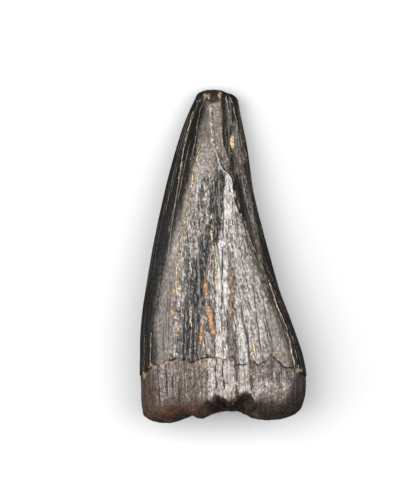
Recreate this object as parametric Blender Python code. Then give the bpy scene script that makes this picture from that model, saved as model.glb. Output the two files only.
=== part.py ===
"""Fossil tyrannosaur tooth: a shed crown on a short root stub, lying on its hollow-curved side.

The tooth lies along Y with its broken tip towards +Y. X runs across its width and Z is up, with the labial
face on top. The origin is the middle of the tooth's box, on the surface that it lies on.

The tooth is one loft. Its sections are ovals fitted between a left, right, back and front outline, with two
carinae, a worn facet near the tip, an enamel edge that stands proud of the root, and a hollow root end.
"""

import math

import bmesh
import bpy
import numpy as np
from mathutils import Matrix, Vector, noise

MM = 0.001

# Driving dimensions. Heights run along Y from the root end, and every table below is in millimetres.
LENGTH = 62.0
SQUARENESS = 2.25  # exponent of the oval sections: 2 is an ellipse, more is boxier
RAGGEDNESS = 0.28  # how far broken surfaces stray
SWELL = 0.16  # how far the grown surface strays
SWELL_SIZE = 9.0

# Outlines of the tooth: height, left, right, back and front.
OUTLINES = (
    (0.0, -14.6, 14.8, 0.7, 17.4),
    (4.0, -15.1, 15.4, 0.0, 18.4),
    (9.0, -15.4, 15.6, -0.3, 19.0),
    (12.5, -15.3, 14.9, -0.2, 18.9),
    (16.0, -15.2, 13.8, 0.1, 18.5),
    (20.5, -14.8, 12.3, 0.5, 17.9),
    (25.0, -14.1, 10.6, 0.8, 17.1),
    (34.0, -12.7, 8.0, 1.1, 15.1),
    (43.0, -10.8, 5.8, 1.1, 12.6),
    (52.0, -8.3, 4.5, 0.5, 9.5),
    (58.5, -5.9, 3.2, -0.2, 6.9),
    (62.0, -4.2, 2.5, -0.2, 5.9),
)
WIDEST = 15.6

# The front carina winds from the tip's middle to the root's right edge: height, share of half the width.
FRONT_CARINA = (
    (0.0, 0.86),
    (11.5, 0.84),
    (22.0, 0.82),
    (27.0, 0.77),
    (34.0, 0.68),
    (40.0, 0.55),
    (44.0, 0.41),
    (49.0, 0.09),
    (55.0, -0.04),
    (62.0, -0.16),
)

# The back carina, hidden underneath on the left: height, angle in degrees.
BACK_CARINA = ((0.0, 203.0), (30.0, 212.0), (62.0, 250.0))

# How far a carina stands up, how fast it fades to each side, and the heights between which it starts and wears.
CARINA_RISE = 0.75
FRONT_FADE = 0.3  # in radians, as are the other distances round the section
BACK_FADE = 0.2
BACK_CARINA_SHARE = 0.7
CARINA_STARTS = (7.0, 15.0)
CARINA_WORN = (43.0, 50.0)

# The flank right of the front carina is drawn in: share of the carina's rise, and radians past it.
FLANK_SHARE = 0.45
FLANK_AT = -0.42
FLANK_WIDTH = 0.26

# The worn facet on the front carina's upper end. Its left side is a step and its right side runs out.
FACET_DEPTH = 0.45
FACET_STEP = (-0.15, 0.05)
FACET_RUN_OUT = (1.5, 2.6)
FACET_STARTS = (44.5, 46.5)

# The sulcus, a long shallow furrow on the front face: height, share of half the width.
SULCUS = ((10.0, -0.24), (23.0, -0.12), (30.0, -0.02), (36.0, 0.12), (44.0, 0.4))
SULCUS_DEPTH = 0.32
SULCUS_WIDTH = 1.5
SULCUS_STARTS = (12.0, 18.0)
SULCUS_ENDS = (40.0, 46.0)

# Lower edge of the enamel across the front face, from the left outline to the right: X, height.
ENAMEL_EDGE = (
    (-15.4, 8.7),
    (-13.6, 10.2),
    (-10.8, 11.3),
    (-8.2, 12.5),
    (-7.4, 11.8),
    (-6.7, 12.4),
    (-5.9, 11.3),
    (-3.6, 12.3),
    (-1.4, 12.5),
    (0.6, 11.9),
    (2.2, 12.6),
    (2.8, 11.1),
    (4.5, 11.0),
    (5.2, 12.3),
    (6.6, 11.0),
    (8.4, 11.8),
    (9.4, 13.0),
    (11.2, 10.6),
    (12.8, 10.3),
    (15.4, 8.7),
)
ENAMEL_SECTION = 11.0  # the edge is laid out on the section at this height
ENAMEL_THICKNESS = 0.35
ENAMEL_STEP = 0.12  # length of the step down from the enamel to the root
ENAMEL_LOW = 8.7  # the edge on the back: its height at the sides, how much it arches, and its jags
ENAMEL_ARCH = 4.0
ENAMEL_JAGS = 0.6
ENAMEL_JAG_SIZE = 1.7

# Lowest reach of the broken root end across the width: X, height.
ROOT_RIM = (
    (-15.0, 0.3),
    (-12.0, 0.0),
    (-9.4, 0.2),
    (-6.2, 1.5),
    (-3.9, 0.8),
    (-1.5, 1.8),
    (1.0, 2.3),
    (3.6, 2.0),
    (6.2, 0.8),
    (8.6, 0.55),
    (11.0, 0.9),
    (15.0, 1.6),
)
ROOT_SECTION = 3.0  # the root end is laid out on the section at this height
ROOT_LOWEST_AT = 0.75  # the rim reaches lowest at this share of the way out
ROOT_NOTCH = (-3.2, 5.2)  # the front wall is broken back from here to here
ROOT_NOTCH_HEIGHT = 1.7
RIM_RADIUS = 3.2  # of the rim's outer edge, which is blunter on the right than on the left
RIM_RADIUS_TILT = 0.9
RIM_ROUNDED_TO = 0.5  # share of the way in to the hollow's mouth
RIM_LIP = 0.9  # how far the rim rises again to the mouth

# The hollow in the root end, where the pulp was.
HOLLOW_DEPTH = 9.0
HOLLOW_HALF_WIDTH = 7.0
HOLLOW_HALF_DEPTH = 4.5
HOLLOW_UNEVENNESS = 0.12

# The tip is broken off and worn to a low dome. A flake is missing from the front of it.
TIP_DOME_HEIGHT = 1.6
TIP_SLANT = 0.35  # how far the dome's edge drops to the front and to the left
FLAKE_AT = -1.7
FLAKE_WIDTH = 1.1
FLAKE_DEPTH = 0.7
FLAKE_IN_FRONT_OF = (3.0, 5.0)

# Divisions of the loft.
FRONT_COLUMNS = 54
BACK_COLUMNS = 34
CROWN_RINGS = 30
ROOT_RINGS = 4
TIP_SHARES = (0.2, 0.5, 0.74, 0.9, 0.975)  # of the way out from the tip's middle to its edge
RIM_SHARES = (0.06, 0.2, 0.38, 0.6, 0.82, 1.0)  # of the way in from the outline to the hollow's mouth
HOLLOW_SHARES = (0.92, 0.74, 0.5, 0.22)  # of the way out from the hollow's middle to its mouth


def smooth_curve(points, at):
    """The smooth curve through points, which are (place, value) in rising order, read at these places."""
    places, values = np.array(points, float).T
    slopes = np.gradient(values, places)
    at = np.clip(at, places[0], places[-1])
    left = np.clip(np.searchsorted(places, at, side="right") - 1, 0, len(places) - 2)
    span = places[left + 1] - places[left]
    t = (at - places[left]) / span
    return (
        values[left] * (1 + 2 * t) * (1 - t) ** 2
        + slopes[left] * span * t * (1 - t) ** 2
        + values[left + 1] * t**2 * (3 - 2 * t)
        - slopes[left + 1] * span * t**2 * (1 - t)
    )


def bump(distance, width):
    """1 at no distance, falling smoothly to nothing over a few widths."""
    return np.exp(-((distance / width) ** 2))


def ramp(value, start, end):
    """0 up to start, 1 from end on, smooth between them."""
    t = np.clip((value - start) / (end - start), 0, 1)
    return t * t * (3 - 2 * t)


def rough(x, y, z, size):
    """Smooth noise from about -1 to 1, with lumps of this size, at points in millimetres."""
    x, y, z = np.broadcast_arrays(x, y, z)
    points = np.stack((x, y, z), -1).reshape(-1, 3) / size
    found = [noise.noise(Vector(point)) for point in points]
    return np.array(found).reshape(x.shape)


def outline(column, height):
    """One column of OUTLINES at these heights."""
    return smooth_curve([(row[0], row[column]) for row in OUTLINES], height)


def front_carina_angle(height):
    share = smooth_curve(FRONT_CARINA, height)
    return np.arccos(np.sign(share) * np.abs(share) ** (SQUARENESS / 2))


def back_carina_angle(height):
    return np.radians(smooth_curve(BACK_CARINA, height))


def oval(height, angle):
    """The plain section: its middle, and the arm from there to the outline. 90 degrees is the front."""
    left, right, back, front = (outline(column, height) for column in (1, 2, 3, 4))
    c, s = np.cos(angle), np.sin(angle)
    arm_x = (right - left) / 2 * np.sign(c) * np.abs(c) ** (2 / SQUARENESS)
    arm_z = (front - back) / 2 * np.sign(s) * np.abs(s) ** (2 / SQUARENESS)
    return (left + right) / 2, (back + front) / 2, arm_x, arm_z


def section_arms(height, angle):
    """The arms of the plain section at one height, for each angle."""
    _, _, arm_x, arm_z = oval(np.full_like(angle, height), angle)
    return arm_x, arm_z


def turned(angle, other):
    """How far angle is past other, in radians, from -pi to pi."""
    return (angle - other + math.pi) % (2 * math.pi) - math.pi


def relief(height, angle):
    """How far the crown stands off the plain section: the carinae, the worn facet and the sulcus."""
    _, _, arm_x, arm_z = oval(height, angle)
    half_width = (outline(2, height) - outline(1, height)) / 2
    size = half_width / WIDEST
    past_front = turned(angle, front_carina_angle(height))
    past_back = turned(angle, back_carina_angle(height))

    # Each carina is a sharp fold.
    fold = np.exp(-np.abs(past_front) / FRONT_FADE) * (1 - ramp(height, *CARINA_WORN))
    drawn_in = FLANK_SHARE * bump(past_front - FLANK_AT, FLANK_WIDTH)
    back_fold = BACK_CARINA_SHARE * np.exp(-np.abs(past_back) / BACK_FADE)
    stands = CARINA_RISE * size**0.5 * ramp(height, *CARINA_STARTS) * (fold - drawn_in + back_fold)

    across = -past_front * half_width
    in_facet = ramp(across, *FACET_STEP) * (1 - ramp(across, *FACET_RUN_OUT))
    stands -= FACET_DEPTH * in_facet * ramp(height, *FACET_STARTS)

    beside = arm_x - half_width * smooth_curve(SULCUS, height)
    in_sulcus = bump(beside, SULCUS_WIDTH * (1 + size) / 2) * (arm_z > 0)
    stands -= SULCUS_DEPTH * in_sulcus * ramp(height, *SULCUS_STARTS) * (1 - ramp(height, *SULCUS_ENDS))
    return stands


def surface(height, angle, sunk=0.0):
    """Points of the outer surface in millimetres, with Y measured from the root end."""
    middle_x, middle_z, arm_x, arm_z = oval(height, angle)
    swell = SWELL * rough(middle_x + arm_x, height, middle_z + arm_z, SWELL_SIZE)
    share = 1 + (relief(height, angle) + swell - sunk) / np.hypot(arm_x, arm_z)
    return middle_x + arm_x * share, height, middle_z + arm_z * share


def enamel_edge(angle):
    """Height of the enamel's lower edge at each angle. On the back it is an arch with jags."""
    arm_x, arm_z = section_arms(ENAMEL_SECTION, angle)
    front = np.interp(arm_x, *np.array(ENAMEL_EDGE).T)
    arch = ENAMEL_ARCH * (1 - (arm_x / WIDEST) ** 2)
    back = ENAMEL_LOW + arch + ENAMEL_JAGS * rough(arm_x, 0.0, arm_z, ENAMEL_JAG_SIZE)
    return np.where(arm_z > 0, front, back)


def flake(x, z):
    """How deep the missing flake is at the tip, at points across it."""
    return FLAKE_DEPTH * bump(x - FLAKE_AT, FLAKE_WIDTH) * ramp(z, *FLAKE_IN_FRONT_OF)


def tip_edge(angle):
    """Height at each angle where the crown ends and the dome over its broken tip starts."""
    middle_x, middle_z, arm_x, arm_z = oval(np.full_like(angle, LENGTH - 1), angle)
    slant = TIP_SLANT * (np.sin(angle) - np.cos(angle))
    ragged = RAGGEDNESS * rough(arm_x, 7.0, arm_z, 1.6)
    return LENGTH - TIP_DOME_HEIGHT - slant - flake(middle_x + arm_x, middle_z + arm_z) + ragged


def column_angles(height):
    """The angle of each column at this height. Columns bunch on the front and follow both carinae."""
    front, back = front_carina_angle(height), back_carina_angle(height)
    over_front = np.linspace(front, back, FRONT_COLUMNS, endpoint=False)
    over_back = np.linspace(back, front + 2 * math.pi, BACK_COLUMNS, endpoint=False)
    return np.concatenate([over_front, over_back])


def crown_rings():
    """Rings down the outside of the crown, from the edge of the tip's dome to the enamel's lower edge."""
    rings = []
    for way in np.linspace(0, 1, CROWN_RINGS):
        angle = column_angles((LENGTH - TIP_DOME_HEIGHT) * (1 - way) + ENAMEL_SECTION * way)
        height = tip_edge(angle) * (1 - way) + enamel_edge(angle) * way
        rings.append(surface(height, angle))
    return rings


def root_rings():
    """Rings down the outside of the root, from under the enamel's edge to where the rim rounds over."""
    rings = []
    angle = column_angles(ENAMEL_SECTION)
    top = enamel_edge(angle) - ENAMEL_STEP
    bottom = rim_height(angle) + rim_radius(angle)
    for way in np.linspace(0, 1, ROOT_RINGS + 1):
        rings.append(surface(top * (1 - way) + bottom * way, angle, ENAMEL_THICKNESS * (1 - way / 2)))
    return rings


def rim_radius(angle):
    """Radius of the rim's outer edge at each angle."""
    return RIM_RADIUS + RIM_RADIUS_TILT * np.cos(angle)


def rim_height(angle):
    """Lowest reach of the rim at each angle."""
    arm_x, arm_z = section_arms(ROOT_SECTION, angle)
    x = ROOT_LOWEST_AT * arm_x
    start, end = ROOT_NOTCH
    notch = ramp(x, start - 1, start + 1) * (1 - ramp(x, end - 1, end + 1)) * (arm_z > 0)
    return smooth_curve(ROOT_RIM, x) + ROOT_NOTCH_HEIGHT * notch


def hollow_mouth(angle):
    """The hollow's mouth as a share of the arm to the outline."""
    arm_x, arm_z = section_arms(ROOT_SECTION, angle)
    mouth = 1 / np.hypot(arm_x / HOLLOW_HALF_WIDTH, arm_z / HOLLOW_HALF_DEPTH)
    return mouth * (1 + HOLLOW_UNEVENNESS * rough(arm_x, 3.0, arm_z, 6.0))


def root_end_ring(height, angle, share):
    """A ring at this share of the arm from the middle of the root end."""
    middle_x, middle_z, arm_x, arm_z = oval(np.full_like(angle, ROOT_SECTION), angle)
    x, z = middle_x + arm_x * share, middle_z + arm_z * share
    return x, height, z


def rim_rings():
    """Rings round the broken rim, from the outer surface to the hollow's mouth."""
    rings = []
    angle = column_angles(ROOT_SECTION)
    mouth = hollow_mouth(angle)
    for share in RIM_SHARES:
        to_edge = 1 - min(share / RIM_ROUNDED_TO, 1)
        rounding = rim_radius(angle) * (1 - math.sqrt(1 - to_edge**2))
        lip = RIM_LIP * ramp(share, RIM_ROUNDED_TO, 1)
        x, y, z = root_end_ring(rim_height(angle) + rounding + lip, angle, 1 + share * (mouth - 1))
        rings.append((x, y + RAGGEDNESS * share * rough(x, 20.0, z, 3.0), z))
    return rings


def hollow_rings():
    """Rings down the wall of the hollow in the root end, which evens out as it gets deeper."""
    rings = []
    angle = column_angles(ROOT_SECTION)
    mouth = hollow_mouth(angle)
    lip = rim_height(angle) + RIM_LIP
    for share in HOLLOW_SHARES:
        way = math.sqrt(1 - share**2)
        evened = lip.mean() + (lip - lip.mean()) * share**2
        x, y, z = root_end_ring(evened * (1 - way) + HOLLOW_DEPTH * way, angle, mouth * share)
        rings.append((x, y + RAGGEDNESS * share * rough(x, 40.0, z, 3.5), z))
    return rings


def tip_rings():
    """Rings over the broken tip, from near its middle out to its edge."""
    rings = []
    angle = column_angles(LENGTH - TIP_DOME_HEIGHT)
    x, y, z = surface(tip_edge(angle), angle)
    for share in TIP_SHARES:
        dome = math.sqrt(1 - share**2)
        inner_x = x.mean() + (x - x.mean()) * share
        inner_z = z.mean() + (z - z.mean()) * share
        broken = RAGGEDNESS * rough(inner_x, 60.0, inner_z, 1.6) - flake(inner_x, inner_z)
        rings.append((inner_x, y * (1 - dome) + (LENGTH + broken * share) * dome, inner_z))
    return rings


def loft(name, rings):
    """A closed mesh over these rings, with a point at the middle of the first and of the last."""
    columns = FRONT_COLUMNS + BACK_COLUMNS
    points = [np.stack(np.broadcast_arrays(*ring), -1) for ring in rings]
    poles = [points[0].mean(0), points[-1].mean(0)]
    corners = np.concatenate([*points, poles]) * MM

    faces = []
    for ring in range(len(rings) - 1):
        above, below = ring * columns, (ring + 1) * columns
        for column in range(columns):
            beside = (column + 1) % columns
            faces.append((above + column, above + beside, below + beside, below + column))
    first_pole, last_pole = len(rings) * columns, len(rings) * columns + 1
    last_ring = (len(rings) - 1) * columns
    for column in range(columns):
        beside = (column + 1) % columns
        faces.append((first_pole, beside, column))
        faces.append((last_pole, last_ring + column, last_ring + beside))

    mesh = bpy.data.meshes.new(name)
    mesh.from_pydata(corners.tolist(), [], faces)
    return mesh


def flatten_underside(mesh):
    """Cuts the mesh off at Z = 0, which leaves the small flats that the tooth rests on."""
    shape = bmesh.new()
    shape.from_mesh(mesh)
    bmesh.ops.recalc_face_normals(shape, faces=shape.faces)
    everything = [*shape.verts, *shape.edges, *shape.faces]
    cut = bmesh.ops.bisect_plane(
        shape, geom=everything, dist=1e-6, plane_co=(0, 0, 0), plane_no=(0, 0, -1), clear_outer=True
    )
    rim = [part for part in cut["geom_cut"] if isinstance(part, bmesh.types.BMEdge)]
    bmesh.ops.holes_fill(shape, edges=rim, sides=0)
    bmesh.ops.recalc_face_normals(shape, faces=shape.faces)
    shape.to_mesh(mesh)
    shape.free()


def centre(mesh):
    """Moves the mesh so that the origin is the middle of its box, seen from above."""
    corners = np.array([vertex.co for vertex in mesh.vertices])
    middle = (corners.min(0) + corners.max(0)) / 2
    mesh.transform(Matrix.Translation((-middle[0], -middle[1], 0)))


def fossil_material():
    """Dark brown, half-glossy fossil enamel."""
    material = bpy.data.materials.new("fossil_enamel")
    material.use_nodes = True
    shader = material.node_tree.nodes["Principled BSDF"]
    shader.inputs["Base Color"].default_value = (0.12, 0.1, 0.085, 1)
    shader.inputs["Roughness"].default_value = 0.38
    shader.inputs["Metallic"].default_value = 0.0
    return material


def main():
    for thing in list(bpy.data.objects):
        bpy.data.objects.remove(thing)
    collection = bpy.data.collections.new("fossil_tyrannosaur_tooth")
    bpy.context.scene.collection.children.link(collection)

    mesh = loft("tooth", [*tip_rings(), *crown_rings(), *root_rings(), *rim_rings(), *hollow_rings()])
    flatten_underside(mesh)
    centre(mesh)
    mesh.shade_smooth()
    mesh.set_sharp_from_angle(angle=math.radians(35))
    mesh.materials.append(fossil_material())
    collection.objects.link(bpy.data.objects.new("tooth", mesh))


main()
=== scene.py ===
"""Looks of the fossil tyrannosaur tooth: the fine surface, its fossil enamel and root, and a plain studio.

The tooth lies along Y with its broken tip towards +Y, its labial face up and the origin under its middle.
It is one loft of ovals. This script repeats the CAD's outlines with a much finer grid, and adds what the CAD
leaves out: wrinkles, cracks with their mineral fillings, the enamel's torn edge and the grain of the root.
"""

import math
import random

import bpy
import numpy as np
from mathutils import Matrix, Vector, noise


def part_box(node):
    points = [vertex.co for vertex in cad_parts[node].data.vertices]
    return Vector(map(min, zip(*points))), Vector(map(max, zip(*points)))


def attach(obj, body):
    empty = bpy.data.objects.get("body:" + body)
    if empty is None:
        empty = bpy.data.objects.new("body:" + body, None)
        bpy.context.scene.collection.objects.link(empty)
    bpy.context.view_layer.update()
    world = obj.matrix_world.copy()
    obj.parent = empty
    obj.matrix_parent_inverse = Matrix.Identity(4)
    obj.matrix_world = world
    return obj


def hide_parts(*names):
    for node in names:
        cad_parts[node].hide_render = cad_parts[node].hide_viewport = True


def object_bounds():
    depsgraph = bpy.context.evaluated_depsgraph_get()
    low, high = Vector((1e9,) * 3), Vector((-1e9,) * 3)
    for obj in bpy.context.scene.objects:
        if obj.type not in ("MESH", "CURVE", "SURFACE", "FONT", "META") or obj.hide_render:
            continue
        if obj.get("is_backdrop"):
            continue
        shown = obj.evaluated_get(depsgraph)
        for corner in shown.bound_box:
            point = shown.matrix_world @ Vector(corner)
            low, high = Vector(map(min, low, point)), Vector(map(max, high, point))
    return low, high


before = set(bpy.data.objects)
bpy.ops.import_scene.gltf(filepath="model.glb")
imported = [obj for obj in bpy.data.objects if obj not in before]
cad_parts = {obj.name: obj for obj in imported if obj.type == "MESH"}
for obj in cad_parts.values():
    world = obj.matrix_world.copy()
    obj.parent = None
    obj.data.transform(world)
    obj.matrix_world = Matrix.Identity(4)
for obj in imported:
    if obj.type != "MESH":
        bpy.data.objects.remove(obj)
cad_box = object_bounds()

MM = 0.001

# Driving dimensions. Heights run along Y from the root end, and every table below is in millimetres.
LENGTH = 62.0
SQUARENESS = 2.25
RAGGEDNESS = 0.28
SWELL = 0.16
SWELL_SIZE = 9.0

# Outlines of the tooth: height, left, right, back and front.
OUTLINES = (
    (0, -14.6, 14.8, 0.7, 17.4), (4, -15.1, 15.4, 0, 18.4), (9, -15.4, 15.6, -0.3, 19),
    (12.5, -15.3, 14.9, -0.2, 18.9), (16, -15.2, 13.8, 0.1, 18.5), (20.5, -14.8, 12.3, 0.5, 17.9),
    (25, -14.1, 10.6, 0.8, 17.1), (34, -12.7, 8, 1.1, 15.1), (43, -10.8, 5.8, 1.1, 12.6),
    (52, -8.3, 4.5, 0.5, 9.5), (58.5, -5.9, 3.2, -0.2, 6.9), (62, -4.2, 2.5, -0.2, 5.9),
)
WIDEST = 15.6

# The front carina winds from the tip's middle to the root's right edge: height, share of half the width.
FRONT_CARINA = (
    (0, 0.86), (11.5, 0.84), (22, 0.82), (27, 0.77), (33.5, 0.695), (38.2, 0.61), (41.3, 0.54),
    (43.3, 0.53), (44.8, 0.525), (45.5, 0.505), (46.2, 0.45), (46.8, 0.35), (47.8, 0.27), (50.2, 0.15),
    (52, 0.05), (54.5, -0.01), (58.7, -0.14), (62, -0.17),
)

# The back carina, hidden underneath on the left: height, angle in degrees.
BACK_CARINA = ((0, 203), (30, 212), (62, 250))
CARINA_RISE = 0.75
FRONT_FADE = 0.3
BACK_FADE = 0.2
BACK_CARINA_SHARE = 0.7
CARINA_STARTS = (7, 15)
CARINA_WORN = (43, 50)
FLANK_SHARE = 0.45
FLANK_AT = -0.42
FLANK_WIDTH = 0.26

# The worn facet on the front carina's upper end, with a raised lip along its left side.
FACET_DEPTH = 0.45
FACET_STEP = (-0.15, 0.05)
FACET_RUN_OUT = (1.5, 2.6)
FACET_STARTS = (44.5, 46.5)
FACET_WIDTHS = ((44, 0), (45.5, 0.7), (47, 1.1), (49, 1.7), (58, 1.6))
FACET_ENDS = 60.3
FACET_LEFT_EDGE = (0, 0.15)
FACET_SOFTNESS = 0.1
LIP_RISE = 0.14
LIP_WIDTH = 0.3
LIP_HEIGHTS = (40, 43)

# The sulcus, a long shallow furrow on the front face: height, share of half the width.
SULCUS = ((10, -0.24), (23, -0.12), (30, -0.02), (36, 0.12), (44, 0.4))
SULCUS_DEPTH = 0.32
SULCUS_WIDTH = 1.5
SULCUS_STARTS = (12, 18)
SULCUS_ENDS = (40, 46)

# Lower edge of the enamel across the front face, from the left outline to the right: X, height.
ENAMEL_EDGE = (
    (-15.4, 8.7), (-13.6, 10.2), (-10.8, 11.3), (-8.2, 12.5), (-7.4, 11.8), (-6.7, 12.4), (-5.9, 11.3),
    (-3.6, 12.3), (-1.4, 12.5), (0.6, 11.9), (2.2, 12.6), (2.8, 11.1), (4.5, 11), (5.2, 12.3), (6.6, 11),
    (8.4, 11.8), (9.4, 13), (11.2, 10.6), (12.8, 10.3), (15.4, 8.7),
)
ENAMEL_SECTION = 11.0
ENAMEL_THICKNESS = 0.42
ENAMEL_THINS = (0.7, 1, 0.6)  # from where and to where across the width, and by how much
ENAMEL_STEP = 0.1
# Painted shadow under the enamel's ledge: where the edge's dark colour fades out on the root.
EDGE_SHADOW_FADES = (0.1, 0.45)  # the edge's colour, on the root under it
ENAMEL_LOW = 8.7
ENAMEL_ARCH = 4.0
ENAMEL_JAGS = 0.6
ENAMEL_JAG_SIZE = 1.7
ENAMEL_TEAR = 0.16  # the small tears along the whole edge
ENAMEL_TEAR_SIZE = 0.5

# Lowest reach of the broken root end across the width: X, height.
ROOT_RIM = (
    (-15, 0.3), (-12, 0), (-9.4, 0.2), (-6.2, 1.5), (-3.9, 0.8), (-1.5, 1.45), (1, 1.8), (3.6, 1.6),
    (6.2, 0.7), (8.6, 0.55), (11, 0.9), (15, 1.6),
)
ROOT_SECTION = 3.0
ROOT_LOWEST_AT = 0.75
ROOT_NOTCH = (-3.2, 5.2)
ROOT_NOTCH_HEIGHT = 2.0
ROOT_NOTCH_SOFTNESS = 1.0
NOTCH_RAGGEDNESS = 0.7
NOTCH_LUMPS = 1.2
RIM_RADIUS = 3.2
RIM_RADIUS_TILT = 0.9
RIM_ROUNDED_TO = 0.5
RIM_LIP = 0.9
RIM_LUMPS = 3.0
RIM_DARKENS = (0.2, 0.5)  # where, on the way round the rim, the dark break starts
RIM_SHARPER_AT_NOTCH = 0.65

# The hollow in the root end, where the pulp was.
HOLLOW_DEPTH = 9.0
HOLLOW_HALF_WIDTH = 7.0
HOLLOW_HALF_DEPTH = 4.5
HOLLOW_UNEVENNESS = 0.12
MOUTH_LUMPS = 6.0
HOLLOW_LUMPS = 3.5

# The broken tip, worn to a low dome, with a flake missing from the front of it.
TIP_DOME_HEIGHT = 1.9
TIP_SLANT = 0.25
TIP_LUMPS = 1.6
TIP_BREAK = (-3.7, -0.1)
TIP_BREAK_SOFTNESS = 0.1
TIP_BREAK_STRAYS = 0.3
TIP_BREAK_LUMPS = 0.8
FLAKE_AT = -1.7
FLAKE_WIDTH = 1.1
FLAKE_DEPTH = 0.45
FLAKE_IN_FRONT_OF = (3, 5)

# Fine relief: how far it strays, the width of its lumps, and how many times longer than wide they are.
WRINKLES = ((0.05, 1.3, 12), (0.035, 0.5, 7))
ROOT_GRAIN = ((0.1, 1.9, 2.2), (0.06, 0.7, 3), (0.03, 0.35, 1.2))
BROKEN_GRAIN = ((0.22, 1.5, 1), (0.12, 0.6, 1))

# Hairline cracks all round: seed, how many, shortest and longest, thinnest and widest.
DARK_HAIRLINES = (3, 120, 5, 24, 0.06, 0.12)
PALE_HAIRLINES = (11, 130, 4, 20, 0.05, 0.09)
WAVY_HAIRLINES = (29, 170, 3, 10, 0.06, 0.12)
WAVY_ABOVE = (24, 34)
WAVY_BESIDE = (0.6, 1.2)  # how far right of the front carina they start
WAVY_OFF_GROUND = (2, 4)
HAIRLINES_START = (-4, 56)
HAIRLINES_END = (36, 46)  # the dark ones on the front
HAIRLINE_DEPTH = 0.07
HAIRLINE_STRENGTH = (0.4, 1)
HAIRLINE_DRIFT = 0.08
HAIRLINE_FADE = 1.0
HAIRLINE_SWAY = 0.14
WAVY_SWAY = 0.3
HAIRLINE_BEND = 1.6  # length of its bends
HAIRLINE_KINK = (0.05, 0.45)  # how far its kinks stray, and their length
HAIRLINE_WIDTH_CHANGE = (0.85, 0.4, 1.1)  # usual share, change, and length of the change
LEAST_WIDTH = 0.02
COLUMN_SHARE = 0.75  # thinnest line that the columns carry, as a share of their distance

# Mineral fillings of the cracks, as linear colours.
TAN = (0.42, 0.29, 0.18)
YELLOW = (0.86, 0.66, 0.38)
ORANGE = (0.58, 0.33, 0.17)
RUST = (0.36, 0.21, 0.13)
BROWN = (0.14, 0.09, 0.06)
BARE = (0.25, 0.185, 0.15)
BLACK = (0.012, 0.01, 0.009)
CREAM = (0.8, 0.66, 0.5)
PALE = (0.55, 0.5, 0.46)
# The lip: a duller cream above, and a painted white highlight lower down.
LIP_ABOVE = (0.82, 0.74, 0.68)
LIP_HIGHLIGHT = (0.85, 0.84, 0.85)
# A pale chip at the tip.
CHIP = (0.62, 0.47, 0.3)

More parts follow.
